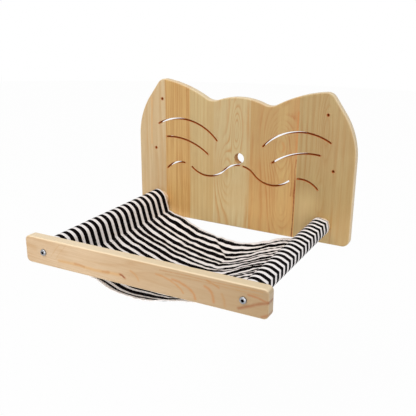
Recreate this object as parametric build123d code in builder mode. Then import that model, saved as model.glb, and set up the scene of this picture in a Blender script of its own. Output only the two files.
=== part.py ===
from build123d import *
from math import cos, radians, sin
import os

# Wall perch for a cat: a cat-head board that screws to a wall, two rods that stand out of it,
# a front rail across their far ends, and a striped cloth sling that hangs between the rods.
# The origin is on the wall face, midway between the rods and at the height of their axes.
# X runs across the perch, Y points into the wall and Z points up.

os.makedirs("parts", exist_ok=True)

# Overall sizes
perch_depth = 305.0
overrun = 1.0

# Back board, glued up from upright staves
board_width = 390.0
board_height = 240.0
board_thickness = 13.0
board_corner_r = 12.0
board_edge_r = 3.0
board_back_edge_r = 1.5
rod_above_board_foot = 31.0
ear_tip_r = 16.0
notch_r = 26.0
# Half outline, as shares of the half width and of the height, from the side up to the crown
side_bend_share = (1.0, 0.583)
side_curve_share = (0.974, 0.725)
side_end_share = (0.896, 0.860)
ear_tip_share = (0.770, 1.0025)
ear_slope_share = (0.5205, 0.9633)
notch_share = (0.268, 0.8667)
crown_share = (0.0, 0.919)
# Sides and glue lines of the staves, as shares of the half width
stave_edge_shares = (-1.0, -0.723, -0.477, -0.246, 0.097, 0.518, 1.0)

# Cut face: slots right through the board, points as shares of the half width and the height
slot_width = 2.8
nose_r = 8.8
nose_height_share = 0.504
brow_share = ((0.790, 0.684), (0.549, 0.733), (0.215, 0.609))
eye_share = ((0.706, 0.595), (0.508, 0.585), (0.303, 0.506))
cheek_share = ((0.704, 0.367), (0.621, 0.412), (0.533, 0.420))
cup_share = ((0.454, 0.396), (0.300, 0.348), (0.148, 0.399))
lip_share = ((0.148, 0.399), (0.098, 0.434), (0.042, 0.451))
lip_to_nose_share = ((0.148, 0.399), (0.088, 0.438), (0.0, 0.457))

# Wall screw holes
wall_hole_r = 2.25
# Places, as shares of the half width and the height
upper_hole_share = (0.754, 0.860)
lower_hole_share = (0.826, 0.502)

# Rods
rod_r = 12.5
# Place across the board, as a share of the half width
rod_share = 0.769
rod_end_chamfer = 0.8

# Front rail
rail_overhang = 32.0
rail_height = 39.0
rail_thickness = 16.0
rail_corner_r = 7.0
rail_edge_r = 2.5

# Socket bolts and the threaded sleeves that they turn into
bolt_r = 2.5
bolt_hole_clearance = 0.3
front_bolt_length = 45.0
back_bolt_length = 35.0
head_r = 4.7
head_height = 2.75
head_round_r = 1.8
socket_across_flats = 4.0
socket_depth = 1.9
head_recess_depth = 4.0
head_recess_clearance = 0.6
sleeve_wall = 1.5
sleeve_length = 22.0
sleeve_bore_clearance = 0.05
sleeve_seat_clearance = 0.05
tip_room = 3.0

# Cloth sling: a pocket round each rod, sewn shut along a seam, and one layer between the seams
cloth_thickness = 1.2
pocket_clearance = 0.3
seam_reach = 27.0
seam_angle = 45.0
seam_lap = 4.0
sling_rail_gap = 1.0
sling_board_gap = 9.0
# Hang of the cloth below the seams, at stations from the rail to the board
station_shares = (0.0, 0.12, 0.45, 0.8, 1.0)
station_hangs = (25.0, 35.5, 39.5, 43.0, 37.0)
# Folds of one section: places across the span, and depths as shares of the hang
fold_shares = ((-1.0, 0.0), (-0.75, 0.38), (-0.46, 0.77), (-0.12, 0.97), (0.24, 0.89), (0.45, 0.68), (1.0, 0.0))
# How far each stretch between two of those places bellies down, as a share of the hang
belly_shares = (0.03, 0.04, 0.02, 0.06, 0.03, -0.03)

# Values worked out from the sizes above
half_width = board_width / 2
foot = -rod_above_board_foot
stave_edges = [share * half_width for share in stave_edge_shares]
rod_span = rod_share * board_width
rail_length = rod_span + 2 * rail_overhang
rod_length = perch_depth - board_thickness - rail_thickness
rod_back = board_thickness
rod_front = perch_depth - rail_thickness
half_rod_span = rod_span / 2
sleeve_r = bolt_r + sleeve_bore_clearance + sleeve_wall
tip_hole_depth = max(front_bolt_length - rail_thickness, back_bolt_length) + tip_room
pocket_in_r = rod_r + pocket_clearance
pocket_out_r = pocket_in_r + cloth_thickness
seam_x = half_rod_span - seam_reach * cos(radians(seam_angle))
seam_z = -seam_reach * sin(radians(seam_angle))
hollow_x = half_rod_span - (seam_reach - seam_lap) * cos(radians(seam_angle))
hollow_z = -(seam_reach - seam_lap) * sin(radians(seam_angle))
sling_front = rod_front - sling_rail_gap
sling_back = rod_back + sling_board_gap
sling_length = sling_front - sling_back


def on_board(share, side=1):
    """A point of the board's front view, from a share of its half width and its height."""
    return (side * share[0] * half_width, foot + share[1] * board_height)


def board_points(shares, side=1):
    """Several points of the board's front view."""
    return [on_board(share, side) for share in shares]


def front_plane(x, depth, z=0.0):
    """A plane that faces the front of the perch, at a depth measured from the wall."""
    return Plane(origin=(x, -depth, z), x_dir=(1, 0, 0), z_dir=(0, -1, 0))


def back_plane(x, depth, z=0.0):
    """A plane that faces the wall, at a depth measured from the wall."""
    return Plane(origin=(x, -depth, z), x_dir=(-1, 0, 0), z_dir=(0, 1, 0))


def slot_path(*paths):
    """The middle line of a slot: one arc through three points, or several joined end to end."""
    return Wire([Edge.make_three_point_arc(*path) for path in paths])


def keep(piece, name):
    """Labels a finished piece and writes its file."""
    piece.part.label = name
    export_step(piece.part, f"parts/{name}.step")


# The whole board, before it is divided into its staves
with BuildPart() as board:
    with BuildSketch(front_plane(0, 0)):
        with BuildLine():
            Line((-half_width, foot), (half_width, foot))
            for side in (1, -1):
                Line((side * half_width, foot), on_board(side_bend_share, side))
                ThreePointArc(*board_points((side_bend_share, side_curve_share, side_end_share), side))
                Line(on_board(side_end_share, side), on_board(ear_tip_share, side))
                ThreePointArc(*board_points((ear_tip_share, ear_slope_share, notch_share), side))
            ThreePointArc(on_board(notch_share), on_board(crown_share), on_board(notch_share, -1))
        make_face()
    extrude(amount=board_thickness)
    fillet(board.edges().filter_by(Axis.Y).group_by(Axis.Z)[0], radius=board_corner_r)
    fillet(board.edges().filter_by(Axis.Y).group_by(Axis.Z)[-1], radius=ear_tip_r)
    fillet(board.edges().filter_by(Axis.Y).sort_by(lambda edge: abs(edge.center().X))[:2], radius=notch_r)
    fillet(board.faces().sort_by(Axis.Y)[0].outer_wire().edges(), radius=board_edge_r)
    fillet(board.faces().sort_by(Axis.Y)[-1].outer_wire().edges(), radius=board_back_edge_r)

    # The cut face
    with BuildSketch(front_plane(0, -overrun)):
        with Locations(on_board((0, nose_height_share))):
            Circle(nose_r)
        for side in (1, -1):
            for points in (brow_share, eye_share, cheek_share):
                SlotArc(slot_path(board_points(points, side)), slot_width)
        for side, lip in ((1, lip_share), (-1, lip_to_nose_share)):
            SlotArc(slot_path(board_points(cup_share, side), board_points(lip, side)), slot_width)
        with Locations(on_board((0, (lip_to_nose_share[-1][1] + nose_height_share) / 2))):
            Rectangle(slot_width, (nose_height_share - lip_to_nose_share[-1][1]) * board_height)
    extrude(amount=board_thickness + 2 * overrun, mode=Mode.SUBTRACT)

    # Wall screw holes and the holes of the two back bolts, whose heads are sunk in the back
    with BuildSketch(front_plane(0, -overrun)):
        for side in (1, -1):
            with Locations(on_board(upper_hole_share, side), on_board(lower_hole_share, side)):
                Circle(wall_hole_r)
        with GridLocations(rod_span, 0, 2, 1):
            Circle(bolt_r + bolt_hole_clearance)
    extrude(amount=board_thickness + 2 * overrun, mode=Mode.SUBTRACT)
    with BuildSketch(front_plane(0, -overrun)):
        with GridLocations(rod_span, 0, 2, 1):
            Circle(head_r + head_recess_clearance)
    extrude(amount=head_recess_depth + overrun, mode=Mode.SUBTRACT)

# The staves: the board cut along its glue lines
for number, (left_edge, right_edge) in enumerate(zip(stave_edges[:-1], stave_edges[1:]), start=1):
    with BuildPart() as stave:
        add(board.part)
        with BuildSketch(front_plane((left_edge + right_edge) / 2, -overrun, foot + board_height / 2)):
            Rectangle(right_edge - left_edge, board_height + 2 * overrun)
        extrude(amount=board_thickness + 2 * overrun, mode=Mode.INTERSECT)
    keep(stave, f"board_stave_{number}")

# Front rail
with BuildPart() as front_rail:
    with BuildSketch(front_plane(0, rod_front)):
        RectangleRounded(rail_length, rail_height, rail_corner_r)
    extrude(amount=rail_thickness)
    fillet(front_rail.faces().sort_by(Axis.Y)[0].outer_wire().edges(), radius=rail_edge_r)
    fillet(front_rail.faces().sort_by(Axis.Y)[-1].outer_wire().edges(), radius=rail_edge_r)
    with BuildSketch(front_plane(0, rod_front - overrun)):
        with GridLocations(rod_span, 0, 2, 1):
            Circle(bolt_r + bolt_hole_clearance)
    extrude(amount=rail_thickness + 2 * overrun, mode=Mode.SUBTRACT)
keep(front_rail, "front_rail")

for side, side_name in ((-1, "left"), (1, "right")):
    x = side * half_rod_span

    # A rod, bored at both ends for a threaded sleeve, with room beyond it for the bolt's tip
    with BuildPart() as rod:
        with BuildSketch(front_plane(x, rod_back)):
            Circle(rod_r)
        extrude(amount=rod_length)
        chamfer(rod.edges().filter_by(GeomType.CIRCLE), length=rod_end_chamfer)
        for plane in (front_plane(x, rod_back), back_plane(x, rod_front)):
            with BuildSketch(plane):
                Circle(sleeve_r + sleeve_seat_clearance)
            extrude(amount=sleeve_length, mode=Mode.SUBTRACT)
            with BuildSketch(plane):
                Circle(bolt_r + bolt_hole_clearance)
            extrude(amount=tip_hole_depth, mode=Mode.SUBTRACT)
    keep(rod, f"{side_name}_rod")

    # Threaded sleeves, flush with the rod's ends
    for end_name, plane in (("back", front_plane(x, rod_back)), ("front", back_plane(x, rod_front))):
        with BuildPart() as sleeve:
            with BuildSketch(plane):
                Circle(sleeve_r)
                Circle(bolt_r + sleeve_bore_clearance, mode=Mode.SUBTRACT)
            extrude(amount=sleeve_length)
        keep(sleeve, f"{side_name}_{end_name}_sleeve")

    # Socket bolts: the front one's head stands on the rail, the back one's lies in the board
    bolts = (
        ("front", front_plane(x, perch_depth), front_bolt_length),
        ("back", back_plane(x, head_recess_depth), back_bolt_length),
    )
    for end_name, plane, length in bolts:
        with BuildPart() as bolt:
            with BuildSketch(plane):
                Circle(head_r)
            extrude(amount=head_height)
            crown = bolt.faces().filter_by(Axis.Y).sort_by(Axis((0, 0, 0), plane.z_dir))[-1]
            fillet(crown.edges(), radius=head_round_r)
            with BuildSketch(plane.offset(head_height)):
                RegularPolygon(socket_across_flats / 2, 6, major_radius=False)
            extrude(amount=-socket_depth, mode=Mode.SUBTRACT)
            with BuildSketch(plane):
                Circle(bolt_r)
            extrude(amount=-length)
        keep(bolt, f"{side_name}_{end_name}_bolt")

# Cloth sling
with BuildPart() as sling:
    # The pocket round each rod narrows to the seam, where its two layers meet
    with BuildSketch(front_plane(0, sling_back)):
        for side in (-1, 1):
            with BuildSketch(front_plane(0, sling_back), mode=Mode.PRIVATE) as pocket:
                with Locations((side * half_rod_span, 0)):
                    Circle(pocket_out_r)
                with Locations((side * seam_x, seam_z)):
                    Circle(cloth_thickness)
                make_hull()
            add(pocket.sketch)
            with BuildSketch(front_plane(0, sling_back), mode=Mode.PRIVATE) as hollow:
                with Locations((side * half_rod_span, 0)):
                    Circle(pocket_in_r)
                with Locations((side * hollow_x, hollow_z)):
                    Circle(pocket_clearance)
                make_hull()
            add(hollow.sketch, mode=Mode.SUBTRACT)
    extrude(amount=sling_length)

    # The single layer between the seams, with its main folds
    for share, hang in zip(station_shares, station_hangs):
        with BuildSketch(front_plane(0, sling_front - share * sling_length)):
            with BuildLine():
                for drop in (-cloth_thickness / 2, cloth_thickness / 2):
                    for start, end, belly in zip(fold_shares[:-1], fold_shares[1:], belly_shares):
                        first = (start[0] * seam_x, seam_z - start[1] * hang - drop)
                        last = (end[0] * seam_x, seam_z - end[1] * hang - drop)
                        middle = ((first[0] + last[0]) / 2, (first[1] + last[1]) / 2 - belly * hang)
                        ThreePointArc(first, middle, last)
                for end_x in (-seam_x, seam_x):
                    Line((end_x, seam_z - cloth_thickness / 2), (end_x, seam_z + cloth_thickness / 2))
            make_face()
    loft()
keep(sling, "sling")
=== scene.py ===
import math
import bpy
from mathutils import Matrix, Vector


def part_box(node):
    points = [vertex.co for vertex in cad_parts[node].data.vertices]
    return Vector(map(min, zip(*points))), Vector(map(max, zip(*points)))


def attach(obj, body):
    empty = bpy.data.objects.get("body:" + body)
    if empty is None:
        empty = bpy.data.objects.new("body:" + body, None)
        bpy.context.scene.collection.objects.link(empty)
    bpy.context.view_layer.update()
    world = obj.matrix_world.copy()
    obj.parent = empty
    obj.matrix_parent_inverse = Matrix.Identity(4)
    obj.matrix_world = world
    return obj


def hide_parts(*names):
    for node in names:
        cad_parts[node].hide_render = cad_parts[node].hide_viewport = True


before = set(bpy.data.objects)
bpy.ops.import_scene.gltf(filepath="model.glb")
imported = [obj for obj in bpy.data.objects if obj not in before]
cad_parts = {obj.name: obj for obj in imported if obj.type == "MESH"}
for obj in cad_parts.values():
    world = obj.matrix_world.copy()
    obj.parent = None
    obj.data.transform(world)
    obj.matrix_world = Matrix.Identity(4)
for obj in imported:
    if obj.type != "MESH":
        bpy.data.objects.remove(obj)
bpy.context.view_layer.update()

from types import SimpleNamespace

import bmesh
import bpy
from mathutils import Matrix, Vector, noise

MM = 0.001

# The board's height, as the photograph's figure gives it
BOARD_HEIGHT = 240 * MM
# Places read from the frame
board_low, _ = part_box("board_stave_1")
FOOT = board_low.z
HALF_WIDTH = -board_low.x
rod_low, rod_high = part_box("left_rod")
ROD_R = (rod_high.x - rod_low.x) / 2
ROD_X = -(rod_high.x + rod_low.x) / 2
sling_low, sling_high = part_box("sling")
SLING_FRONT = sling_low.y
SLING_BACK = sling_high.y


# Shader node helpers

class Nodes:
    """Adds nodes to one material or group and links them."""

    def __init__(self, tree):
        self.tree = tree

    def add(self, kind, **settings):
        node = self.tree.nodes.new(kind)
        for name, value in settings.items():
            setattr(node, name, value)
        return node

    def put(self, socket, value):
        if isinstance(value, bpy.types.NodeSocket):
            self.tree.links.new(value, socket)
        else:
            socket.default_value = value

    def put_all(self, node, values):
        for name, value in values.items():
            self.put(node.inputs[name], value)

    def math(self, operation, a, b=0.0, clamp=False):
        node = self.add("ShaderNodeMath", operation=operation, use_clamp=clamp)
        for socket, value in zip(node.inputs, (a, b)):
            self.put(socket, value)
        return node.outputs[0]

    def plus(self, a, b):
        return self.math("ADD", a, b)

    def minus(self, a, b):
        return self.math("SUBTRACT", a, b)

    def times(self, a, b):
        return self.math("MULTIPLY", a, b)

    def vector(self, operation, a, b=(0, 0, 0), scale=None):
        node = self.add("ShaderNodeVectorMath", operation=operation)
        self.put(node.inputs[0], a)
        self.put(node.inputs[1], b)
        if scale is not None:
            self.put(node.inputs["Scale"], scale)
        return node.outputs["Value" if operation in ("LENGTH", "DOT_PRODUCT") else "Vector"]

    def combine(self, x, y, z):
        node = self.add("ShaderNodeCombineXYZ")
        for socket, value in zip(node.inputs, (x, y, z)):
            self.put(socket, value)
        return node.outputs[0]

    def separate(self, vector):
        node = self.add("ShaderNodeSeparateXYZ")
        self.put(node.inputs[0], vector)
        return node.outputs

    def noise(self, vector, scale, detail=3.0, roughness=0.55):
        node = self.add("ShaderNodeTexNoise")
        self.put_all(node, {"Vector": vector, "Scale": scale, "Detail": detail,
                            "Roughness": roughness})
        return node.outputs["Fac"]

    def ramp(self, value, stops):
        """A ramp of greys, each given with its place."""
        node = self.add("ShaderNodeValToRGB")
        elements = node.color_ramp.elements
        while len(elements) < len(stops):
            elements.new(0.5)
        for element, (place, grey) in zip(elements, stops):
            element.position = place
            element.color = (grey, grey, grey, 1)
        self.put(node.inputs[0], value)
        return node.outputs[0]

    def remap(self, value, low, high, to_low=0.0, to_high=1.0):
        node = self.add("ShaderNodeMapRange", clamp=True)
        for socket, item in zip(node.inputs, (value, low, high, to_low, to_high)):
            self.put(socket, item)
        return node.outputs[0]

    def mix(self, factor, a, b):
        """Mixes two colours. The node keeps its factor and its colours in inputs 0, 6 and 7."""
        node = self.add("ShaderNodeMix", data_type="RGBA")
        self.put(node.inputs[0], factor)
        for socket, colour in ((node.inputs[6], a), (node.inputs[7], b)):
            self.put(socket, colour if isinstance(colour, bpy.types.NodeSocket) else (*colour, 1))
        return node.outputs[2]

    def bump(self, height, strength, distance):
        node = self.add("ShaderNodeBump")
        self.put_all(node, {"Strength": strength, "Distance": distance, "Height": height})
        return node.outputs[0]


def darker(colour, share):
    return tuple(share * channel for channel in colour)


def srgb(r, g, b):
    """A colour written as it looks on a screen, from 0 to 255, turned to linear light."""
    def linear(channel):
        c = channel / 255
        return c / 12.92 if c <= 0.04045 else ((c + 0.055) / 1.055) ** 2.4
    return (linear(r), linear(g), linear(b))


def new_material(name):
    material = bpy.data.materials.new(name)
    material.use_nodes = True
    nodes = Nodes(material.node_tree)
    shader = material.node_tree.nodes["Principled BSDF"]
    place = nodes.add("ShaderNodeTexCoord").outputs["Object"]
    return material, nodes, shader, place


def set_material(obj, material):
    """Gives every material slot of an object the same material."""
    if not obj.data.materials:
        obj.data.materials.append(material)
    for entry in obj.material_slots:
        entry.material = material


# The cut face: the slots' middle lines, as circles of the front view

SLOT_WIDTH = 2.8 * MM
NOSE_R = 8.8 * MM
NOSE_Z = FOOT + 0.504 * BOARD_HEIGHT
WALL_HOLE_R = 2.25 * MM
HOLE_SCORCH = 0.5 * MM
# Points of the cut face, as shares of the board's half width and of its height
WALL_HOLE_SHARES = ((0.754, 0.860), (0.826, 0.502))
BROW = ((0.790, 0.684), (0.549, 0.733), (0.215, 0.609))
EYE = ((0.706, 0.595), (0.508, 0.585), (0.303, 0.506))
CHEEK = ((0.704, 0.367), (0.621, 0.412), (0.533, 0.420))
CUP = ((0.454, 0.396), (0.300, 0.348), (0.148, 0.399))
LIP = ((0.148, 0.399), (0.098, 0.434), (0.042, 0.451))
LIP_TO_NOSE = ((0.148, 0.399), (0.088, 0.438), (0.0, 0.457))


def board_point(share, side):
    """A point of the board's front view, from a share of its half width and its height."""
    return Vector((side * share[0] * HALF_WIDTH, FOOT + share[1] * BOARD_HEIGHT))


def circle_through(a, b, c):
    """Centre and radius of the circle through three points of a plane."""
    ab, ac = b - a, c - a
    cross = 2 * (ab.x * ac.y - ab.y * ac.x)
    x = (ac.y * ab.length_squared - ab.y * ac.length_squared) / cross
    y = (ab.x * ac.length_squared - ac.x * ab.length_squared) / cross
    return a + Vector((x, y)), math.hypot(x, y)


def slot_arcs():
    """Each arc as its centre, radius, middle direction and the cosine of half its turn."""
    arcs = []
    for side, lip in ((1, LIP), (-1, LIP_TO_NOSE)):
        for shares in (BROW, EYE, CHEEK, CUP, lip):
            a, b, c = (board_point(share, side) for share in shares)
            centre, radius = circle_through(a, b, c)
            first, last = (a - centre).normalized(), (c - centre).normalized()
            middle = (first + last).normalized()
            if middle.dot(b - centre) < 0:
                middle = -middle
            arcs.append((centre, radius, middle, middle.dot(first)))
    return arcs


def make_burn_group():
    """How near a point of the board is to a burnt edge, in metres, as a shader node group."""
    group = bpy.data.node_groups.new("burnt_edge_distance", "ShaderNodeTree")
    group.interface.new_socket("Place", in_out="INPUT", socket_type="NodeSocketVector")
    group.interface.new_socket("Distance", in_out="OUTPUT", socket_type="NodeSocketFloat")
    nodes = Nodes(group)
    x, _, z = nodes.separate(nodes.add("NodeGroupInput").outputs[0])
    flat = nodes.combine(x, z, 0.0)
    distances = []
    for centre, radius, middle, half_cosine in slot_arcs():
        offset = nodes.vector("SUBTRACT", flat, (centre.x, centre.y, 0))
        length = nodes.vector("LENGTH", offset)
        along = nodes.vector("DOT_PRODUCT", offset, (middle.x, middle.y, 0))
        across = nodes.math("ABSOLUTE", nodes.minus(length, radius))
        # The reach runs a little past each end, round the end of the slot
        reach = nodes.times(length, half_cosine - 0.5 * SLOT_WIDTH / radius)
        outside = nodes.math("LESS_THAN", along, reach)
        distances.append(nodes.plus(nodes.minus(across, SLOT_WIDTH / 2), outside))
    for side in (1, -1):
        for share in WALL_HOLE_SHARES:
            centre = board_point(share, side)
            offset = nodes.vector("SUBTRACT", flat, (centre.x, centre.y, 0))
            gap = nodes.minus(nodes.vector("LENGTH", offset), WALL_HOLE_R)
            distances.append(nodes.minus(nodes.math("ABSOLUTE", gap), HOLE_SCORCH))
    nearest = distances[0]
    for distance in distances[1:]:
        nearest = nodes.math("MINIMUM", nearest, distance)
    nodes.put(nodes.add("NodeGroupOutput").inputs[0], nearest)
    return group


# Pine

BURNT = srgb(200, 116, 56)
SCORCHED = srgb(166, 104, 54)
NOSE_WALL = srgb(196, 152, 104)
# Painted light: the pale colour that edges, tops and ends are mixed towards
EDGE_LIGHT_COLOUR = srgb(255, 236, 200)
# Cells of noise in a metre, across the grain and along it
WAVER_CELLS = (22.0, 5.0)
RIPPLE_CELLS = (190.0, 26.0)
FADE_CELLS = (60.0, 9.0)
STREAK_CELLS = (210.0, 3.0)
CLOUD_CELLS = (18.0, 9.0)
FIBRE_CELLS = (1500.0, 55.0)
MARK_CELLS = 150.0
# A ring's darkness at each share of its width: it darkens slowly and ends sharply
RING_STOPS = ((0.0, 0.25), (0.10, 0.0), (0.55, 0.18), (0.86, 1.0), (1.0, 0.25))
# How far the rings lean through the piece's depth, and how many rings the fine ripple moves them
RING_LEAN = 0.6
RIPPLE_RINGS = 0.35
# The most that clouds and fibres darken the wood
CLOUD_STRENGTH = 0.22
FIBRE_STRENGTH = 0.22
# Painted light against the sling's shade: a stave grows paler from here down to the height of the rods'
# axes
FOOT_LIGHT_START = 125 * MM
# The face is scorched between these distances from a cut, and a wall is burnt this near to one
SCORCH_START = 0.1 * MM
SCORCH_END = 0.7 * MM
SCORCH_STRENGTH = 0.55
BURNT_WITHIN = 0.4 * MM
NOSE_MARGIN = 0.3 * MM
GLOSS = 0.12
GLOSS_ROUGHNESS = 0.35
SPECULAR = 0.45
ROUGHNESS_RANGE = (0.40, 0.54)
GRAIN_RELIEF = 0.12 * MM
# How much a mark's edge wanders
MARK_WANDER = 2.0 * MM


def grain_noise(nodes, flat, cells, shift=None, detail=2.0, roughness=0.5):
    """Noise drawn out along the grain, moved aside so that no two pieces look alike."""
    place = nodes.vector("MULTIPLY", flat, (*cells, 0.0))
    if shift is not None:
        place = nodes.vector("ADD", place, (*shift, 0.0))
    return nodes.noise(place, 1.0, detail, roughness)


def grain_bump(nodes, flat, bump):
    """A round swelling of the grain: rings of late wood run round it."""
    width_at, length_at, wide, long, rings = bump
    offset = nodes.vector("SUBTRACT", flat, (width_at * MM, length_at * MM, 0))
    scaled = nodes.vector("MULTIPLY", offset, (1 / (wide * MM), 1 / (long * MM), 0))
    square = nodes.vector("DOT_PRODUCT", scaled, scaled)
    swelling = nodes.math("EXPONENT", nodes.times(square, -1.0))
    return nodes.times(swelling, rings)


def late_wood_pattern(nodes, flat, width, depth, ring, waver, bumps, seed):
    """The late wood, drawn as contour lines of a gentle slope across the piece, with swellings
    where the log's layers break the surface in ovals and arches."""
    slope = nodes.plus(width, nodes.times(depth, RING_LEAN))
    rings = nodes.math("DIVIDE", slope, ring * MM)
    slow = nodes.minus(grain_noise(nodes, flat, WAVER_CELLS), 0.5)
    rings = nodes.plus(rings, nodes.times(slow, 2 * waver))
    ripple = grain_noise(nodes, flat, RIPPLE_CELLS, (seed, 3 * seed), 3.0, 0.6)
    ripple = nodes.minus(ripple, 0.5)
    rings = nodes.plus(rings, nodes.times(ripple, RIPPLE_RINGS))
    for bump in bumps:
        rings = nodes.plus(rings, grain_bump(nodes, flat, bump))
    # A whole number of rings is added so that none is negative, and the seed moves them
    turn = nodes.math("FRACT", nodes.plus(rings, 100.0 + seed))
    return nodes.ramp(turn, RING_STOPS)


def grain_colour(nodes, flat, depth, late_wood, tone, late, contrast, streaks, seed):
    """The wood's colour, and the fine fibres that also roughen it."""
    fade = grain_noise(nodes, flat, FADE_CELLS, (5 * seed, seed))
    fade = nodes.remap(fade, 0.35, 0.65, 0.1, 1.0)
    strength = nodes.times(nodes.times(late_wood, fade), contrast)
    colour = nodes.mix(strength, tone, late)
    # Broad streaks and clouds of darker wood
    streak = grain_noise(nodes, flat, STREAK_CELLS, (seed, 0), 4.0, 0.65)
    colour = nodes.mix(nodes.remap(streak, 0.42, 0.72, 0.0, streaks), colour, darker(late, 0.80))
    cloud = grain_noise(nodes, flat, CLOUD_CELLS, (0, seed))
    colour = nodes.mix(nodes.remap(cloud, 0.40, 0.65, 0.0, CLOUD_STRENGTH), colour, late)
    across_cells, along_cells = FIBRE_CELLS
    width, length, _ = nodes.separate(flat)
    fibre_place = nodes.combine(nodes.times(width, across_cells),
                                nodes.times(length, along_cells),
                                nodes.times(depth, across_cells))
    fibre = nodes.noise(fibre_place, 1.0, 3.0, 0.6)
    fibre_share = nodes.remap(fibre, 0.40, 0.75, 0.0, FIBRE_STRENGTH)
    return nodes.mix(fibre_share, colour, darker(late, 0.72)), fibre


def paint_edge_light(nodes, colour, facing, along):
    """Painted light: a board's edges are painted paler than its face, and a piece that lies along X
    is painted paler on its top and under side and, a little, at its ends."""
    if along == "Z":
        painted_light = nodes.remap(nodes.math("ABSOLUTE", facing[1]), 0.55, 0.95, 0.45, 0.0)
    elif along == "X":
        upward = nodes.remap(nodes.math("ABSOLUTE", facing[2]), 0.3, 0.8, 0.0, 0.6)
        endward = nodes.remap(nodes.math("ABSOLUTE", facing[0]), 0.5, 0.9, 0.0, 0.22)
        painted_light = nodes.math("MAXIMUM", upward, endward)
    else:
        return colour
    return nodes.mix(painted_light, colour, EDGE_LIGHT_COLOUR)


def burn_cuts(nodes, shader, cuts, colour, place, facing):
    """Scorches the face beside the cuts and burns their walls, and leaves the nose's wall raw
    and dull. Gives the new colour and the gloss."""
    burn = nodes.add("ShaderNodeGroup")
    burn.node_tree = cuts
    nodes.put(burn.inputs[0], place)
    from_cut = burn.outputs[0]
    scorch = nodes.remap(from_cut, SCORCH_START, SCORCH_END, SCORCH_STRENGTH, 0.0)
    colour = nodes.mix(scorch, colour, SCORCHED)
    wall = nodes.math("LESS_THAN", nodes.math("ABSOLUTE", facing[1]), 0.5)
    burnt = nodes.times(nodes.math("LESS_THAN", from_cut, BURNT_WITHIN), wall)
    colour = nodes.mix(burnt, colour, BURNT)
    x, _, z = nodes.separate(place)
    from_nose = nodes.combine(x, nodes.minus(z, NOSE_Z), 0.0)
    near_nose = nodes.math("LESS_THAN", nodes.vector("LENGTH", from_nose), NOSE_R + NOSE_MARGIN)
    raw = nodes.times(near_nose, wall)
    colour = nodes.mix(raw, colour, NOSE_WALL)
    dull = nodes.math("MAXIMUM", burnt, raw)
    nodes.put(shader.inputs["Specular IOR Level"], nodes.remap(dull, 0.0, 1.0, SPECULAR, 0.0))
    return colour, nodes.remap(dull, 0.0, 1.0, GLOSS, 0.0)


def pine(name, tone, late, along="Z", ring=4.0, bumps=(), seed=0.0, contrast=0.6, streaks=0.3,
         waver=1.2, drift=None, painted_foot_light=1.0, cuts=None):
    """Clear satin pine with its grain along one axis, ready for marks and for finish_pine."""
    material, nodes, shader, place = new_material(name)
    tone, late = srgb(*tone), srgb(*late)
    x, y, z = nodes.separate(place)
    length, width, depth = {"Z": (z, x, y), "X": (x, z, y), "Y": (y, x, z)}[along]
    flat = nodes.combine(width, length, 0.0)
    late_wood = late_wood_pattern(nodes, flat, width, depth, ring, waver, bumps, seed)
    colour, fibre = grain_colour(nodes, flat, depth, late_wood, tone, late, contrast, streaks, seed)
    if drift is not None:
        drift_colour, start, end, share = drift
        turned = nodes.times(nodes.remap(x, start * MM, end * MM), share)
        colour = nodes.mix(turned, colour, srgb(*drift_colour))
    # Painted light: the wood is brightened towards the rods' height, against the sling's shade on the
    # board
    if painted_foot_light != 1.0:
        colour = nodes.vector("SCALE", colour, scale=nodes.remap(z, FOOT_LIGHT_START, 0.0, 1.0, painted_foot_light))
    facing = nodes.separate(nodes.add("ShaderNodeNewGeometry").outputs["Normal"])
    # Painted light on the edges, tops and ends
    colour = paint_edge_light(nodes, colour, facing, along)
    gloss = GLOSS
    if cuts is not None:
        colour, gloss = burn_cuts(nodes, shader, cuts, colour, place, facing)
    return SimpleNamespace(material=material, nodes=nodes, shader=shader, colour=colour,
                           late_wood=late_wood, fibre=fibre, gloss=gloss)


def add_mark(wood, points, wide, colour, strength):
    """A mark of another wood tone, or of painted light, along a few points of the face, all in mm, with
    an uneven edge.
    """
    nodes = wood.nodes
    place = nodes.add("ShaderNodeTexCoord").outputs["Object"]
    x, _, z = nodes.separate(place)
    flat = nodes.combine(x, z, 0.0)
    gap = None
    for (start_x, start_z), (end_x, end_z) in zip(points[:-1], points[1:]):
        start = Vector((start_x, start_z, 0)) * MM
        run = Vector((end_x, end_z, 0)) * MM - start
        offset = nodes.vector("SUBTRACT", flat, tuple(start))
        along = nodes.vector("DOT_PRODUCT", offset, tuple(run))
        share = nodes.math("DIVIDE", along, run.length_squared, clamp=True)
        nearest = nodes.vector("SCALE", tuple(run), scale=share)
        from_line = nodes.vector("LENGTH", nodes.vector("SUBTRACT", offset, nearest))
        gap = from_line if gap is None else nodes.math("MINIMUM", gap, from_line)
    scaled = nodes.vector("MULTIPLY", place, (MARK_CELLS, 0.0, MARK_CELLS))
    uneven = nodes.minus(nodes.noise(scaled, 1.0, 3.0, 0.6), 0.5)
    gap = nodes.plus(gap, nodes.times(uneven, MARK_WANDER))
    cover = nodes.remap(gap, 0.0, wide * MM, strength, 0.0)
    wood.colour = nodes.mix(cover, wood.colour, srgb(*colour))


def finish_pine(wood):
    """Joins a pine's colour, gloss and relief to its shader."""
    nodes, inputs = wood.nodes, wood.shader.inputs
    nodes.put(inputs["Base Color"], wood.colour)
    nodes.put(inputs["Roughness"], nodes.remap(wood.fibre, 0.3, 0.7, *ROUGHNESS_RANGE))
    relief = nodes.plus(nodes.times(wood.late_wood, 0.35), nodes.times(wood.fibre, 0.65))
    nodes.put(inputs["Normal"], nodes.bump(relief, 0.2, GRAIN_RELIEF))
    nodes.put(inputs["Coat Weight"], wood.gloss)
    inputs["Coat Roughness"].default_value = GLOSS_ROUGHNESS
    return wood.material


# Metal

SOCKET_R = 2.35 * MM
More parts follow.
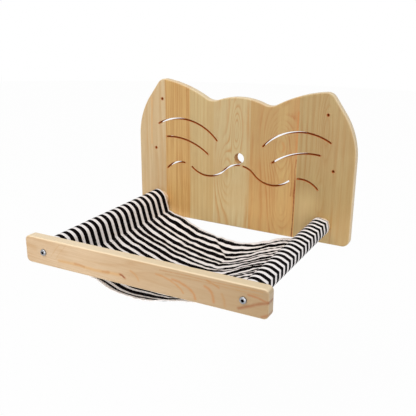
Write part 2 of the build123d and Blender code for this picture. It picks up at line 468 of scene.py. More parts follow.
# Where the sockets of the front and the back bolts lie along Y
FRONT_SOCKET = (-307.6 * MM, -305.6 * MM)
BACK_SOCKET = (-3.4 * MM, -1.4 * MM)
# Painted shade in the hollows of the bolts' hex sockets
SOCKET_SHADE = srgb(14, 14, 16)
SOCKET_ROUGHNESS = 0.8
WEAR_CELLS = 900.0
WEAR_DARKENS = 0.25
WEAR_ROUGHENS = 0.15
WEAR_RELIEF = 0.03 * MM


def metal(name, colour, roughness, sockets=()):
    """Plated or turned metal, lightly worn, with painted shade in its sockets."""
    material, nodes, shader, place = new_material(name)
    worn = nodes.noise(place, WEAR_CELLS, 4.0, 0.6)
    base = nodes.mix(nodes.remap(worn, 0.35, 0.7, 0.0, WEAR_DARKENS), colour, darker(colour, 0.6))
    rough = nodes.remap(worn, 0.3, 0.7, roughness, roughness + WEAR_ROUGHENS)
    x, y, z = nodes.separate(place)
    from_axis = nodes.combine(nodes.minus(nodes.math("ABSOLUTE", x), ROD_X), z, 0.0)
    near_axis = nodes.math("LESS_THAN", nodes.vector("LENGTH", from_axis), SOCKET_R)
    # Painted shade: each socket's hollow is darkened and roughened where shade falls in it
    for low, high in sockets:
        past_low, before_high = nodes.math("GREATER_THAN", y, low), nodes.math("LESS_THAN", y, high)
        shaded_socket = nodes.times(nodes.times(past_low, before_high), near_axis)
        base = nodes.mix(shaded_socket, base, SOCKET_SHADE)
        rough = nodes.math("MAXIMUM", rough, nodes.times(shaded_socket, SOCKET_ROUGHNESS))
    nodes.put_all(shader, {"Base Color": base, "Roughness": rough, "Metallic": 1.0,
                           "Normal": nodes.bump(worn, 0.15, WEAR_RELIEF)})
    return material


# Striped cloth

STRIPE_PITCH = 14.0 * MM
FIRST_BLACK = 15.0 * MM
BLACK_SHARE = 0.57
# How soft a stripe's edge is, as a share of the pitch, and how far the yarns move it
EDGE_SOFTNESS = 0.012
EDGE_WANDER = 0.35 * MM
# The white edges in front of the first black stripe and behind the last one
FRONT_WHITE = 6.0 * MM
BACK_WHITE = 2.2 * MM
TWILL_RIB = 1.1 * MM
TWILL_THREAD = 0.55 * MM
YARN_CELLS = 900.0
SLUB_CELLS = (90.0, 900.0)
SOFT_CELLS = 60.0
WEAVE_RELIEF = 0.12 * MM
CLOTH_BLACK = srgb(5, 2, 3)
WORN_BLACK = srgb(26, 22, 23)
CLOTH_WHITE = srgb(250, 246, 245)
WEAVE_SHADE = srgb(200, 194, 193)
SLUB_SHADE = srgb(206, 194, 192)
SOFT_SHADE = srgb(222, 208, 206)


def black_stripes(nodes, uv, v, y):
    """1 on the black stripes and 0 on the white ones and at the hems' edges."""
    wander = nodes.minus(nodes.noise(uv, YARN_CELLS, 2.0, 0.6), 0.5)
    drawn = nodes.plus(v, nodes.times(wander, EDGE_WANDER))
    bands = nodes.math("DIVIDE", nodes.minus(drawn, FIRST_BLACK), STRIPE_PITCH)
    # Whole bands are added so that none is negative, and half a band puts black in the middle
    turn = nodes.math("FRACT", nodes.plus(bands, 10.5))
    distance = nodes.math("ABSOLUTE", nodes.minus(turn, 0.5))
    edge = BLACK_SHARE / 2
    black = nodes.remap(distance, edge - EDGE_SOFTNESS, edge + EDGE_SOFTNESS, 1.0, 0.0)
    black = nodes.times(black, nodes.math("GREATER_THAN", v, FRONT_WHITE))
    return nodes.times(black, nodes.math("LESS_THAN", y, SLING_BACK - BACK_WHITE))


def striped_cloth():
    """Twill cotton, black and off-white bands across the sling, from the cloth's own
    coordinates: U along its width and V along its length, in metres before it is drawn out."""
    material, nodes, shader, place = new_material("striped_cotton")
    uv = nodes.add("ShaderNodeUVMap", uv_map="cloth").outputs[0]
    _, y, _ = nodes.separate(place)
    u, v, _ = nodes.separate(uv)
    black = black_stripes(nodes, uv, v, y)
    # Twill: slanted ribs of thread, under the slubs of an uneven yarn
    rising, falling = nodes.plus(u, v), nodes.minus(u, v)
    ribs = nodes.math("SINE", nodes.times(rising, 2 * math.pi / TWILL_RIB))
    threads = nodes.math("SINE", nodes.times(falling, 2 * math.pi / TWILL_THREAD))
    weave = nodes.plus(nodes.times(ribs, 0.7), nodes.times(threads, 0.3))
    slub = nodes.noise(nodes.vector("MULTIPLY", uv, (*SLUB_CELLS, 0.0)), 1.0)
    soft = nodes.noise(uv, SOFT_CELLS)
    white = nodes.mix(nodes.remap(weave, -0.6, 1.0, 0.08, 0.0), CLOTH_WHITE, WEAVE_SHADE)
    white = nodes.mix(nodes.remap(slub, 0.35, 0.7, 0.0, 0.10), white, SLUB_SHADE)
    white = nodes.mix(nodes.remap(soft, 0.4, 0.65, 0.0, 0.10), white, SOFT_SHADE)
    dark = nodes.mix(nodes.remap(slub, 0.4, 0.8, 0.0, 0.25), CLOTH_BLACK, WORN_BLACK)
    height = nodes.plus(nodes.times(weave, 0.5), nodes.times(slub, 0.8))
    nodes.put_all(shader, {
        "Base Color": nodes.mix(black, white, dark),
        "Roughness": nodes.remap(slub, 0.3, 0.7, 0.88, 0.98),
        "Specular IOR Level": 0.05,
        "Sheen Weight": nodes.remap(black, 0.0, 1.0, 0.10, 0.0),
        "Normal": nodes.bump(height, 0.25, WEAVE_RELIEF),
    })
    return material


THREAD_LIGHT = srgb(160, 150, 146)
THREAD_DARK = srgb(108, 100, 98)
TWIST_CELLS = 2500.0
TWIST_RELIEF = 0.05 * MM


def thread():
    """Twisted cotton sewing thread."""
    material, nodes, shader, place = new_material("sewing_thread")
    twist = nodes.noise(place, TWIST_CELLS, 2.0, 0.5)
    colour = nodes.mix(nodes.remap(twist, 0.35, 0.65, 0.0, 0.5), THREAD_LIGHT, THREAD_DARK)
    nodes.put_all(shader, {"Base Color": colour, "Roughness": 0.8,
                           "Normal": nodes.bump(twist, 0.4, TWIST_RELIEF)})
    return material


# The sling, as one sheet: a pocket round each rod and the hanging stretch between the seams.
# Places along it are shares of its length, from the front hem to the back one, and places
# across it are shares of the seams' distance from the middle, from the left to the right.

CLOTH_THICKNESS = 0.8 * MM
HEM_THICKNESS = 1.4 * MM
HEM_WIDTH = 8 * MM
# The middle of the pocket's cloth, with half a thickness free between the cloth and the rod
POCKET_R = ROD_R + CLOTH_THICKNESS
SEAM_REACH = 27 * MM
SEAM_ANGLE = math.radians(45)
SEAM_X = ROD_X - SEAM_REACH * math.cos(SEAM_ANGLE)
SEAM_Z = -SEAM_REACH * math.sin(SEAM_ANGLE)
SLING_LENGTH = SLING_BACK - SLING_FRONT

# Hang of the lowest line below the seams, in mm
HANG_PLACE_SHARES = (0.0, 0.056, 0.113, 0.165, 0.5, 0.8, 0.92, 1.0)
HANGS = (26.0, 31.4, 34.5, 37.0, 39.0, 39.5, 37.5, 35.5)
# Sections across, as shares of that hang, each at its place along the sling
ACROSS_SHARES = (-1.0, -0.88, -0.75, -0.60, -0.45, -0.30, -0.15, 0.0, 0.12, 0.25, 0.37, 0.50, 0.65,
                 0.82, 1.0)
SECTION_SHARES = (
    (0.00, (0.0, 0.12, 0.25, 0.45, 0.78, 0.94, 1.0, 0.96, 0.81, 0.65, 0.49, 0.37, 0.24, 0.12, 0.0)),
    (0.07, (0.0, 0.19, 0.40, 0.65, 0.86, 0.98, 0.98, 0.94, 0.89, 0.79, 0.66, 0.50, 0.34, 0.17, 0.0)),
    (0.30, (0.0, 0.25, 0.43, 0.63, 0.81, 0.90, 0.95, 0.99, 0.98, 0.92, 0.82, 0.61, 0.39, 0.19, 0.0)),
    (0.80, (0.0, 0.26, 0.43, 0.60, 0.77, 0.87, 0.94, 0.99, 0.98, 0.91, 0.80, 0.60, 0.39, 0.19, 0.0)),
    (1.00, (0.0, 0.15, 0.27, 0.49, 0.68, 0.83, 0.94, 1.0, 0.98, 0.88, 0.76, 0.58, 0.40, 0.20, 0.0)),
)
# The crease that bends across the lowest stretch: places along, its distance from the middle,
# the depth of its valley and the step that the cloth makes there, in mm
CREASE_PLACE_SHARES = (0.36, 0.45, 0.57, 0.66, 0.72, 0.775, 0.835, 0.87, 0.93, 1.0)
CREASE_ACROSS = (-2.0, 3.0, 7.0, 10.5, 10.5, 9.0, 3.0, -8.0, -23.0, -38.0)
CREASE_DEPTHS = (0.0, 1.2, 2.4, 3.2, 3.2, 3.0, 2.4, 1.8, 0.8, 0.2)
CREASE_STEPS = (0.0, 0.0, 0.3, 0.8, 1.2, 2.0, 3.2, 3.2, 2.2, 1.2)
# How far from the crease its valley fades at the left and at the right, how far its step takes
# to rise and to fade, and the swelling before the step: its share, place and width, in mm
VALLEY_REACHES = (26, 34)
STEP_RISE = 1.6
STEP_FADE = 24
SWELLING = (0.35, 5, 6)


def smooth_between(places, values, at):
    """A smooth curve through a few values."""
    if at <= places[0]:
        return values[0]
    if at >= places[-1]:
        return values[-1]
    index = max(i for i, place in enumerate(places[:-1]) if place <= at)
    slopes = []
    for i in (index, index + 1):
        low, high = max(i - 1, 0), min(i + 1, len(places) - 1)
        slopes.append((values[high] - values[low]) / (places[high] - places[low]))
    width = places[index + 1] - places[index]
    t = (at - places[index]) / width
    return (
        (2 * t ** 3 - 3 * t ** 2 + 1) * values[index] + (t ** 3 - 2 * t ** 2 + t) * width * slopes[0]
        + (3 * t ** 2 - 2 * t ** 3) * values[index + 1] + (t ** 3 - t ** 2) * width * slopes[1]
    )


def ease(low, high, at):
    """From 0 at the low place to 1 at the high one, without a corner."""
    t = min(max((at - low) / (high - low), 0.0), 1.0)
    return t * t * (3 - 2 * t)


def gauss(offset, width):
    return math.exp(-(offset / width) ** 2)


def section_depth(across, along):
    """Depth of the hanging stretch below the seams, before its small folds."""
    shares = [smooth_between(ACROSS_SHARES, section, across) for _, section in SECTION_SHARES]
    share = smooth_between([place for place, _ in SECTION_SHARES], shares, along)
    return smooth_between(HANG_PLACE_SHARES, HANGS, along) * share * MM


def crease_drop(across, along):
    """The valley and the step of the cloth along its crease, sinking to the right of it."""
    from_crease = across * SEAM_X / MM - smooth_between(CREASE_PLACE_SHARES, CREASE_ACROSS, along)
    left_reach, right_reach = VALLEY_REACHES
    valley = math.exp(-abs(from_crease) / (left_reach if from_crease < 0 else right_reach))
    step = ease(-STEP_RISE, STEP_RISE, from_crease) * math.exp(-max(from_crease, 0) / STEP_FADE)
    share, before, width = SWELLING
    step -= share * gauss(from_crease + before, width)
    depth = smooth_between(CREASE_PLACE_SHARES, CREASE_DEPTHS, along)
    height = smooth_between(CREASE_PLACE_SHARES, CREASE_STEPS, along)
    return (depth * valley + height * step) * MM


# Heights of the small folds, in mm
SOFT_HEIGHT = 1.9
DRAWN_HEIGHT = 2.7
CRINKLE_HEIGHT = 1.3
GATHER_HEIGHT = 0.75
RUMPLE_HEIGHT = 0.7
ROLL_HEIGHT = 1.6
# Widths of a gather, of a rumple at the front hem and of the roll behind it, and how far the
# gathers wander, as a share of their width
GATHER_WIDTH = 11 * MM
GATHER_WANDER_SHARE = 1.4
RUMPLE_WIDTH = 13 * MM
ROLL_WIDTH = 30 * MM
# Where the roll's slope crosses the sheet, where it is strongest and how far it reaches
ROLL_CROSSING = 29 * MM
ROLL_MIDDLE = 27 * MM
ROLL_REACH = 17 * MM


def wave(place, width):
    return math.sin(2 * math.pi * place / width)


def two_noises(coarse, fine):
    """Noise at one point, with half as much at a finer scale at another."""
    return noise.noise(Vector(coarse)) + 0.5 * noise.noise(Vector(fine))


def small_folds(across, along):
    """Rumples of the cloth: long ones that run from rod to rod, short gathers beside the right
    seam that run along it, crinkles, and a roll and rumples at the front hem. Each noise has
    its own number of cells in a metre, and a third number that sets it apart."""
    x, y = across * SEAM_X, along * SLING_LENGTH
    hold = ease(0.0, 0.07, 1 - abs(across))
    soft = two_noises((x * 24, y * 14, 1.7), (x * 55, y * 26, 4.2))
    # Folds from rod to rod, slightly fanned, strongest right of the middle
    drawn = two_noises((x * 13 + 4, (y + 0.10 * x) * 48, 9.1), (x * 22, y * 95, 3.3))
    drawn *= 0.55 + 0.45 * ease(-0.25, 0.25, across) * ease(0.02, 0.25, 1 - across)
    # Small crinkles, most of them in the back half
    crinkles = two_noises(((x + 0.4 * y) * 75, (y - 0.2 * x) * 60, 6.4), (x * 150, y * 120, 8.8))
    crinkles *= 0.45 + 0.55 * ease(0.15, 0.6, along)
    wander = noise.noise(Vector((x * 10, y * 20, 7.7)))
    gathers = wave(x + GATHER_WANDER_SHARE * wander * GATHER_WIDTH, GATHER_WIDTH)
    gathers += 0.5 * noise.noise(Vector((x * 90, y * 50, 2.2)))
    gathers *= ease(0.42, 0.70, across) * ease(0.02, 0.20, 1 - across)
    gathers *= 0.35 + 0.65 * gauss(along - 0.08, 0.22)
    rumple = gauss(along, 0.04) * wave(x, RUMPLE_WIDTH) * gauss(across + 0.10, 0.25)
    roll = wave(y - ROLL_CROSSING, ROLL_WIDTH) * gauss(y - ROLL_MIDDLE, ROLL_REACH)
    roll *= gauss(across + 0.2, 0.28)
    folds = SOFT_HEIGHT * soft + DRAWN_HEIGHT * drawn + CRINKLE_HEIGHT * crinkles
    folds += GATHER_HEIGHT * gathers + RUMPLE_HEIGHT * rumple + ROLL_HEIGHT * roll
    return hold * folds * MM


PUCKER_HEIGHT = 0.35
PUCKER_WIDTH = 9 * MM
PUCKER_REACH = 5 * MM


def seam_pucker(across, along):
    """Small puckers that the stitching draws into the cloth beside each seam."""
    y = along * SLING_LENGTH
    near = math.exp(-(1 - abs(across)) * SEAM_X / PUCKER_REACH)
    wander = 2 * noise.noise(Vector((y * 30, across, 0.5)))
    return PUCKER_HEIGHT * near * math.sin(2 * math.pi * y / PUCKER_WIDTH + wander) * MM


def sheet_point(across, along):
    """A point of the hanging stretch's middle surface."""
    fall = section_depth(across, along) + crease_drop(across, along)
    height = SEAM_Z - fall + small_folds(across, along) + seam_pucker(across, along)
    return Vector((across * SEAM_X, SLING_FRONT + along * SLING_LENGTH, height))


def corner_reach(angle, corner, reach):
    """A taut layer's distance from the rod's axis beside a corner, as a share of its radius:
    straight from the corner until it touches the rod."""
    touch = math.acos(1 / reach)
    turn = math.radians(abs(angle - corner))
    return 1 / math.cos(touch - turn) if turn < touch else 1.0


# Each pocket's slack at the front and what it gains towards the back, in mm, and where round the
# rod it lies: its middle and its width, in degrees
LEFT_SLACK = (0.7, 3.6, 118, 48)
RIGHT_SLACK = (1.4, 1.4, 46, 34)
# The right pocket's pressed crease: its turn round the rod at the front and what that loses
# towards the back, in degrees, and its distance from the rod's axis, as a share of the radius
PRESSED_TURN = 148
PRESSED_FALL = 14
PRESSED_REACH_SHARE = 1.17
POCKET_RIPPLE = 0.35
# Points round the rod, and on each of the two straight layers between the rod and the seam
ROUND_POINTS = 53
LAYER_POINTS = 8
# The layers meet at the seam one above the other, each this far from its line
LAYER_LIFT = 0.55 * CLOTH_THICKNESS


def pocket_radius(side, angle, along):
    """How far the pocket stands from the rod's axis. Angle 0 faces the other rod and 90 faces up."""
    radius = POCKET_R
    first, gain, middle, width = LEFT_SLACK if side < 0 else RIGHT_SLACK
    slack = (first + gain * along) * gauss(angle - middle, width)
    if side > 0:
        crease = PRESSED_TURN - PRESSED_FALL * ease(0.4, 1.0, along)
        radius *= corner_reach(angle, crease, PRESSED_REACH_SHARE)
    y = along * SLING_LENGTH
    ripple = noise.noise(Vector((math.radians(angle) * 1.3, y * 22, side * 3.1)))
    ripple = POCKET_RIPPLE * max(ripple, -0.4) * gauss(angle - 90, 100)
    return radius + (slack + ripple) * MM


def pocket_path(side, along):
    """Points round one rod, from the seam's under side to its upper side."""
    spread = math.degrees(math.acos(POCKET_R / SEAM_REACH))
    seam_turn = -math.degrees(SEAM_ANGLE)
    centre = Vector((side * ROD_X, 0))
    seam = Vector((side * SEAM_X, SEAM_Z))
    lift = Vector((0, LAYER_LIFT))

    def at(angle):
        radius = pocket_radius(side, angle, along)
        turn = math.radians(angle)
        return centre + radius * Vector((-side * math.cos(turn), math.sin(turn)))

    under, upper = 360 + seam_turn - spread, seam_turn + spread
    turns = [under + (upper - under) * i / (ROUND_POINTS - 1) for i in range(ROUND_POINTS)]
    points = [(seam - lift).lerp(at(under), i / LAYER_POINTS) for i in range(LAYER_POINTS)]
    points += [at(turn) for turn in turns]
    points += [at(upper).lerp(seam + lift, i / LAYER_POINTS) for i in range(1, LAYER_POINTS)]
    return points


POCKET_COLUMNS = 2 * LAYER_POINTS - 1 + ROUND_POINTS
ROWS = 150
COLUMNS = 150


def sling_rows():
    """Rows of points across the whole sheet, from the front hem to the back one."""
    rows = []
    for row in range(ROWS + 1):
        along = row / ROWS
        y = SLING_FRONT + along * SLING_LENGTH
        left = [Vector((p.x, y, p.y)) for p in pocket_path(-1, along)]
        right = [Vector((p.x, y, p.y)) for p in reversed(pocket_path(1, along))]
        middle = [sheet_point(-1 + 2 * i / COLUMNS, along) for i in range(COLUMNS + 1)]
        rows.append(left + middle + right)
    return rows


# The bands lie closer at the front than at the back, where the cloth is drawn out, most in its
# left half. In mm, at the left and at the right: the place of the first black band's middle, the
# step there, and half of what each step gains on the one before it
BAND_STARTS = (14.1, 15.6)
BAND_STEPS = (12.76, 13.3)
BAND_GAINS = (0.090, 0.035)


def place_on_cloth(y, across):
    """The cloth's own coordinate along it, from the distance to the front hem."""
    start, step, gain = (left + (right - left) * ease(-0.2, 1.0, across)
                         for left, right in (BAND_STARTS, BAND_STEPS, BAND_GAINS))
    band = (math.sqrt(step ** 2 + 4 * gain * (y / MM - start)) - step) / (2 * gain)
    return FIRST_BLACK + STRIPE_PITCH * band


def add_object(name, mesh):
    """Turns a bmesh into an object of the scene."""
    data = bpy.data.meshes.new(name)
    mesh.to_mesh(data)
    mesh.free()
    obj = bpy.data.objects.new(name, data)
    bpy.context.scene.collection.objects.link(obj)
    return obj


def sling_sheet(rows):
    """The sling's mesh: its middle surface, with the cloth's own coordinates, made thick."""
    mesh = bmesh.new()
    uv_layer = mesh.loops.layers.uv.new("cloth")
    deform = mesh.verts.layers.deform.new()
    grid = []
    for row, line in enumerate(rows):
        from_hem = min(row, ROWS - row) / ROWS * SLING_LENGTH
        weight = 1.0 if from_hem < HEM_WIDTH else CLOTH_THICKNESS / HEM_THICKNESS
        grid.append([mesh.verts.new(point) for point in line])
        for vertex in grid[-1]:
            vertex[deform][0] = weight
    # Widths along the middle row give the cloth's own coordinate across
    middle = rows[ROWS // 2]
    widths = [0.0]
    for a, b in zip(middle[:-1], middle[1:]):
        widths.append(widths[-1] + (b - a).length)
    across = [2 * (i - POCKET_COLUMNS) / COLUMNS - 1 for i in range(len(middle))]
    across = [min(max(share, -1), 1) for share in across]
    for row in range(ROWS):
        for column in range(len(middle) - 1):
            places = ((column, row), (column + 1, row), (column + 1, row + 1), (column, row + 1))
            face = mesh.faces.new([grid[j][i] for i, j in places])
            face.smooth = True
            for loop, (i, j) in zip(face.loops, places):
                loop[uv_layer].uv = (widths[i], place_on_cloth(j / ROWS * SLING_LENGTH, across[i]))
    obj = add_object("sling_cloth", mesh)
    obj.vertex_groups.new(name="hems")
    thick = obj.modifiers.new("thick", "SOLIDIFY")
    thick.thickness = HEM_THICKNESS
    thick.offset = 0.0
    thick.vertex_group = "hems"
    apply_modifiers(obj)
    return obj, widths[-1]


def apply_modifiers(obj):
    """Bakes an object's modifiers into its mesh."""
    graph = bpy.context.evaluated_depsgraph_get()
    data = bpy.data.meshes.new_from_object(obj.evaluated_get(graph))
    obj.modifiers.clear()
    obj.data = data


STITCH_LENGTH = 2.6 * MM
STITCH_STEP = 4.0 * MM
STITCH_R = 0.22 * MM
STITCH_SIDES = 6
# A stitch's rings: each one's place along it, its size and its height over the cloth, as shares
# of the stitch's length and radius
STITCH_SHARES = ((0.0, 0.5, -0.6), (0.25, 1.0, 0.5), (0.75, 1.0, 0.5), (1.0, 0.5, -0.6))
# Columns from the pocket to the seam's thread, and rows from the edge to the hem's
SEAM_INSET = 2
HEM_INSET = 4


def add_stitch(mesh, start, end, up):
    """One stitch: a short thread that dips into the cloth at both ends."""
    run = end - start
    side = run.cross(up).normalized()
    rings = []
    for share, size, lift in STITCH_SHARES:
        centre = start + run * share + up * (lift * STITCH_R)
        ring = []
        for i in range(STITCH_SIDES):
            angle = 2 * math.pi * i / STITCH_SIDES
            outward = math.cos(angle) * side + math.sin(angle) * up
            ring.append(mesh.verts.new(centre + size * STITCH_R * outward))
        rings.append(ring)
    for first, last in zip(rings[:-1], rings[1:]):
        for i in range(STITCH_SIDES):
            j = (i + 1) % STITCH_SIDES
            mesh.faces.new((first[i], first[j], last[j], last[i])).smooth = True
    mesh.faces.new(rings[0])
    mesh.faces.new(list(reversed(rings[-1])))


def sew_line(mesh, points, beside, lift):
    """Stitches at even steps along a line that lies on the cloth. The points beside it give the
    cloth's slope."""
    ahead = points[1:] + points[-2:-1]
    normals = [(b - a).cross(c - a).normalized() for a, b, c in zip(points, beside, ahead)]
    normals = [-n if n.z < 0 else n for n in normals]
    travelled = 0.0
    next_start = 0.5 * STITCH_STEP
    whole = sum((b - a).length for a, b in zip(points[:-1], points[1:]))
    for i, (a, b) in enumerate(zip(points[:-1], points[1:])):
        length = (b - a).length
        while next_start < min(travelled + length, whole - STITCH_STEP):
            place = a.lerp(b, (next_start - travelled) / length) + lift * normals[i]
            add_stitch(mesh, place, place + (b - a).normalized() * STITCH_LENGTH, normals[i])
            next_start += STITCH_STEP
        travelled += length


def sling_stitching(rows):
    """The seam beside each pocket and the two hems, sewn in a running stitch."""
    mesh = bmesh.new()
    for column in (POCKET_COLUMNS + SEAM_INSET, POCKET_COLUMNS + COLUMNS - SEAM_INSET):
        points = [line[column] for line in rows]
        beside = [line[column + 1] for line in rows]
        sew_line(mesh, points, beside, 0.5 * CLOTH_THICKNESS)
    hang = slice(POCKET_COLUMNS, POCKET_COLUMNS + COLUMNS + 1)
    for row in (HEM_INSET, ROWS - HEM_INSET):
        sew_line(mesh, rows[row][hang], rows[row + 1][hang], 0.5 * HEM_THICKNESS)
    return add_object("sling_stitching", mesh)


def make_sling():
    """The cloth and its thread, which ride on the sling's body."""
    rows = sling_rows()
    cloth, flat_width = sling_sheet(rows)
    set_material(cloth, striped_cloth())
    stitching = sling_stitching(rows)
    set_material(stitching, thread())
    for piece in (cloth, stitching):
        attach(piece, "sling")
    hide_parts("sling")


# Materials of the rigid pieces. Colours are given from 0 to 255, as they look on a screen. A
# swelling of the grain is given as its place across and along the piece, its width and length,
# in mm, and the rings that it adds. A drift is a colour that the wood turns to between two
# places across the board, or along the rail, in mm, and how far it turns. The foot is painted
# light: how many times brighter the wood is painted at the height of the rods, against the
# shade that the sling casts on the board there.

STAVES = {
    "board_stave_1": dict(
        tone=(199, 176, 137), late=(186, 140, 82), ring=9.0, seed=1.3, contrast=0.6,
        streaks=0.45, waver=1.0, painted_foot_light=1.06, bumps=((-168, 120, 9, 60, 1.2),)),
    "board_stave_2": dict(
        tone=(197, 162, 102), late=(172, 114, 50), ring=3.6, seed=2.6, contrast=0.95,
        streaks=0.7, waver=0.5, painted_foot_light=1.26),
    "board_stave_3": dict(
        tone=(191, 169, 121), late=(178, 134, 76), ring=6.5, seed=3.1, contrast=0.5,
        streaks=0.45, waver=0.6, painted_foot_light=1.29, drift=((180, 140, 86), -66, -50, 0.28)),
    "board_stave_4": dict(
        tone=(191, 172, 128), late=(176, 126, 66), ring=17.0, seed=4.4, contrast=0.85,
        waver=0.4, painted_foot_light=1.32, bumps=((-6, 136, 8.0, 36, 4.0), (-24, 62, 15, 46, 4.2))),
    "board_stave_5": dict(
        tone=(182, 151, 97), late=(164, 104, 52), ring=22.0, seed=5.2, contrast=0.8,
        waver=0.5, painted_foot_light=1.52, drift=((180, 124, 66), 84, 101, 0.3),
        bumps=((72, 124, 21, 40, 6.2), (72, 72, 21, 46, 2.6), (76, 18, 15, 34, 3.6))),
    "board_stave_6": dict(
        tone=(173, 149, 101), late=(158, 114, 60), ring=10.0, seed=6.1, contrast=0.7,
        streaks=0.4, waver=0.6, painted_foot_light=1.14, drift=((156, 122, 68), 168, 194, 0.45),
        bumps=((145, 150, 9, 50, 3.4), (138, 42, 13, 46, 3.4))),
}
RAIL = dict(
    tone=(204, 177, 143), late=(178, 134, 82), along="X", ring=8.0, seed=9.4, contrast=0.45,
    streaks=0.25, waver=0.7, drift=((150, 122, 84), -80, 190, 0.9),
    bumps=((-14, 20, 12, 95, 3.4), (-4, -120, 8, 70, 2.2), (8, -60, 9, 80, 1.4)))
RODS = dict(tone=(252, 230, 196), late=(226, 186, 136), along="Y", seed=12.0)
# Marks on the board: their points, half width, colour and strength. The last one is painted
# light: a pale patch beside the right rod that cancels the shadow of the rod and its pocket. A
# stave takes the marks that begin on it or this near to it.
MARK_MARGIN = 4 * MM
BOARD_MARKS = (
    (((100, 175), (99, 130), (99, 96)), 2.6, (186, 112, 52), 0.5),
    (((100, 100), (98, 84), (99, 70), (98, 40)), 1.8, (150, 84, 34), 0.75),
    (((86, 136), (90, 112), (93, 88), (94, 60), (93, 40)), 1.6, (160, 98, 42), 0.6),
    (((88, 110), (96, 74), (96, 42)), 4.0, (176, 124, 66), 0.4),
    (((99.4, 66), (99.2, 40), (98.8, 0), (98, -31)), 1.4, (128, 56, 14), 1.0),
    (((76, 124), (79, 118), (77, 112)), 3.8, (190, 130, 72), 0.5),
    (((-168, 176), (-169, 140), (-170, 96)), 2.6, (206, 150, 84), 0.45),
    # Painted light: a pale patch against the shadow that the right rod and its pocket cast on stave 6
    (((112, -30), (114, 8), (118, 30)), 32, (222, 194, 140), 0.5),
)
RAIL_MARKS = (
    (((-124, -7), (-106, -6.5), (-89, -7), (-63, -8), (-25, -6)), 3.6, (196, 146, 82), 0.65),
    (((-97, -6), (-90, -6), (-82, -7)), 2.4, (170, 108, 48), 0.5),
    (((-52, -7.5), (-47, -7), (-42, -6)), 2.8, (170, 108, 48), 0.5),
    (((-25, -5), (-21, -6), (-17, -9)), 2.6, (160, 96, 40), 0.8),
    (((-24, -5.6), (-21, -6.4), (-18, -8.6)), 1.6, (128, 60, 10), 1.0),
    (((-8, 3), (-2, 0), (2, -4), (4, -8)), 2.2, (184, 132, 72), 0.65),
    (((30, 7), (40, 6), (50, 3), (59, -1), (65, -5), (69, -10)), 2.2, (180, 124, 62), 0.7),
    (((54, 5), (64, 3.5), (73, 0), (79, -3), (84, -8), (86, -14)), 2.8, (176, 116, 56), 0.75),
    (((99, 6), (104, 4), (108, 0), (110, -5), (111, -12)), 3.0, (172, 112, 54), 0.75),
    (((102, 14), (109, 12), (118, 8)), 1.8, (168, 112, 56), 0.7),
    (((122, 1), (125, -6), (126, -14)), 2.8, (168, 118, 62), 0.5),
    (((156, 8), (168, 7), (181, 3.5)), 2.2, (158, 92, 38), 0.65),
    (((144, -12), (151, -9), (160, -5), (171, 0), (181, 3)), 3.2, (138, 84, 40), 0.85),
    (((174, -16), (182, -12)), 2.4, (148, 84, 36), 0.6),
    (((36, 13.5), (75, 14.5), (110, 14), (174, 15.5)), 1.3, (166, 120, 68), 0.65),
    (((44, 10), (80, 11), (110, 11), (174, 10.5)), 1.0, (166, 120, 68), 0.55),
    (((-112, 16), (-120, 7), (-129, -5)), 1.1, (180, 134, 82), 0.3),
    (((-122, 16), (-130, 7), (-138, -4)), 1.1, (180, 134, 82), 0.4),
)


def paint_board():
    """Each stave has its own tone and grain, and all share the burnt cuts of the face."""
    cuts = make_burn_group()
    for node, settings in STAVES.items():
        wood = pine("pine_" + node, cuts=cuts, **settings)
        low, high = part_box(node)
        for points, wide, colour, strength in BOARD_MARKS:
            if low.x - MARK_MARGIN < points[0][0] * MM < high.x + MARK_MARGIN:
                add_mark(wood, points, wide, colour, strength)
        set_material(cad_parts[node], finish_pine(wood))


def paint_rail():
    rail = pine("pine_rail", **RAIL)
    for points, wide, colour, strength in RAIL_MARKS:
        add_mark(rail, points, wide, colour, strength)
    set_material(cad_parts["front_rail"], finish_pine(rail))


def paint_rods_and_fixings():
    materials = {
        "rod": finish_pine(pine("pine_rods", **RODS)),
        "bolt": metal("zinc_plated_steel", srgb(160, 162, 166), 0.24, (FRONT_SOCKET, BACK_SOCKET)),
        "sleeve": metal("turned_brass", srgb(200, 168, 96), 0.35),
    }
    for node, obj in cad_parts.items():
        kind = node.split("_")[-1]
        if kind in materials:
            set_material(obj, materials[kind])


paint_board()
paint_rail()
paint_rods_and_fixings()
make_sling()


# Floor, light and camera

FLOOR_Z = -0.42
FLOOR_R = 6.0
FLOOR_GREY = 0.75
# The floor looks white by this share, and the rest of its look takes the object's shadow
FLOOR_WHITE_SHARE = 0.97
WORLD_LIGHT = 0.57
WORLD_SEEN = 1.0
# Each lamp's place and target in metres, its size and its power
LAMPS = {
    "key": ((-1.00, -3.70, 5.30), (0, -0.12, 0.02), 2.6, 165),
    "fill": ((1.80, -3.30, 0.90), (0, -0.10, 0.05), 2.4, 48),
    "low": ((0.10, -1.70, -0.36), (0, -0.20, -0.05), 0.6, 4),
}


def seen_directly(nodes):
    """1 for rays from the camera, from a mirror or through glass, and 0 for those that light."""
    path = nodes.add("ShaderNodeLightPath")
    passed_on = nodes.math("MAXIMUM", path.outputs["Is Glossy Ray"], path.outputs["Is Transmission Ray"])
    return nodes.math("MAXIMUM", path.outputs["Is Camera Ray"], passed_on)


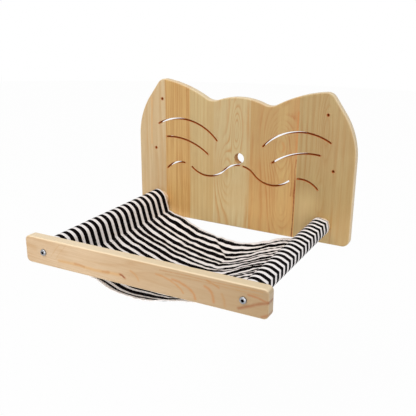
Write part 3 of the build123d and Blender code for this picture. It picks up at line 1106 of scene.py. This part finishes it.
def make_floor():
    """A white floor that keeps a faint shadow."""
    bpy.ops.mesh.primitive_circle_add(vertices=128, radius=FLOOR_R, fill_type="NGON",
                                      location=(0, -0.15, FLOOR_Z))
    floor = bpy.context.object
    floor.name = "floor"
    material, nodes, shader, _ = new_material("pale_floor")
    grey = (FLOOR_GREY, FLOOR_GREY, FLOOR_GREY, 1)
    nodes.put_all(shader, {"Base Color": grey, "Roughness": 0.9})
    white = nodes.add("ShaderNodeEmission")
    blend = nodes.add("ShaderNodeMixShader")
    whiteness = nodes.times(seen_directly(nodes), FLOOR_WHITE_SHARE)
    for socket, value in zip(blend.inputs, (whiteness, shader.outputs[0], white.outputs[0])):
        nodes.put(socket, value)
    nodes.put(material.node_tree.nodes["Material Output"].inputs["Surface"], blend.outputs[0])
    set_material(floor, material)


def make_world():
    """A white studio that looks brighter than it lights."""
    world = bpy.data.worlds.new("studio")
    world.use_nodes = True
    bpy.context.scene.world = world
    nodes = Nodes(world.node_tree)
    background = world.node_tree.nodes["Background"]
    background.inputs["Color"].default_value = (1, 1, 1, 1)
    strength = nodes.remap(seen_directly(nodes), 0.0, 1.0, WORLD_LIGHT, WORLD_SEEN)
    nodes.put(background.inputs["Strength"], strength)


def area_light(name, location, target, size, power):
    """A round lamp that faces its target."""
    data = bpy.data.lights.new(name, "AREA")
    data.shape = "DISK"
    data.size = size
    data.energy = power
    lamp = bpy.data.objects.new(name, data)
    bpy.context.scene.collection.objects.link(lamp)
    lamp.location = location
    lamp.rotation_mode = "QUATERNION"
    lamp.rotation_quaternion = (Vector(target) - Vector(location)).to_track_quat("-Z", "Y")


# The photograph's camera, fitted to the piece: where it looks, from how far, and its lens and
# shift in pixels of a picture this wide
PHOTO_WIDTH = 416
AZIMUTH = math.radians(23.70)
ELEVATION = math.radians(17.85)
ROLL = math.radians(1.91)
DISTANCE = 815.6 * MM
AIM = Vector((95.7, -150.0, 63.8)) * MM
FOCAL_PIXELS = 585.8
SHIFT_PIXELS = (-49.4, -3.2)
SENSOR_WIDTH = 36.0


def make_camera():
    """The photograph's view: 24 degrees round to the right and 18 degrees up."""
    away = Vector((math.sin(AZIMUTH) * math.cos(ELEVATION), -math.cos(AZIMUTH) * math.cos(ELEVATION),
                   math.sin(ELEVATION)))
    data = bpy.data.cameras.new("camera")
    camera = bpy.data.objects.new("camera", data)
    bpy.context.scene.collection.objects.link(camera)
    data.sensor_width = SENSOR_WIDTH
    data.lens = FOCAL_PIXELS / PHOTO_WIDTH * SENSOR_WIDTH
    data.shift_x, data.shift_y = (pixels / PHOTO_WIDTH for pixels in SHIFT_PIXELS)
    camera.location = AIM + DISTANCE * away
    camera.rotation_mode = "QUATERNION"
    facing = (-away).to_track_quat("-Z", "Y")
    camera.rotation_quaternion = facing @ Matrix.Rotation(ROLL, 3, "Z").to_quaternion()
    bpy.context.scene.camera = camera


make_floor()
make_world()
for lamp_name, lamp_settings in LAMPS.items():
    area_light(lamp_name, *lamp_settings)
make_camera()
bpy.context.scene.view_settings.view_transform = "Standard"
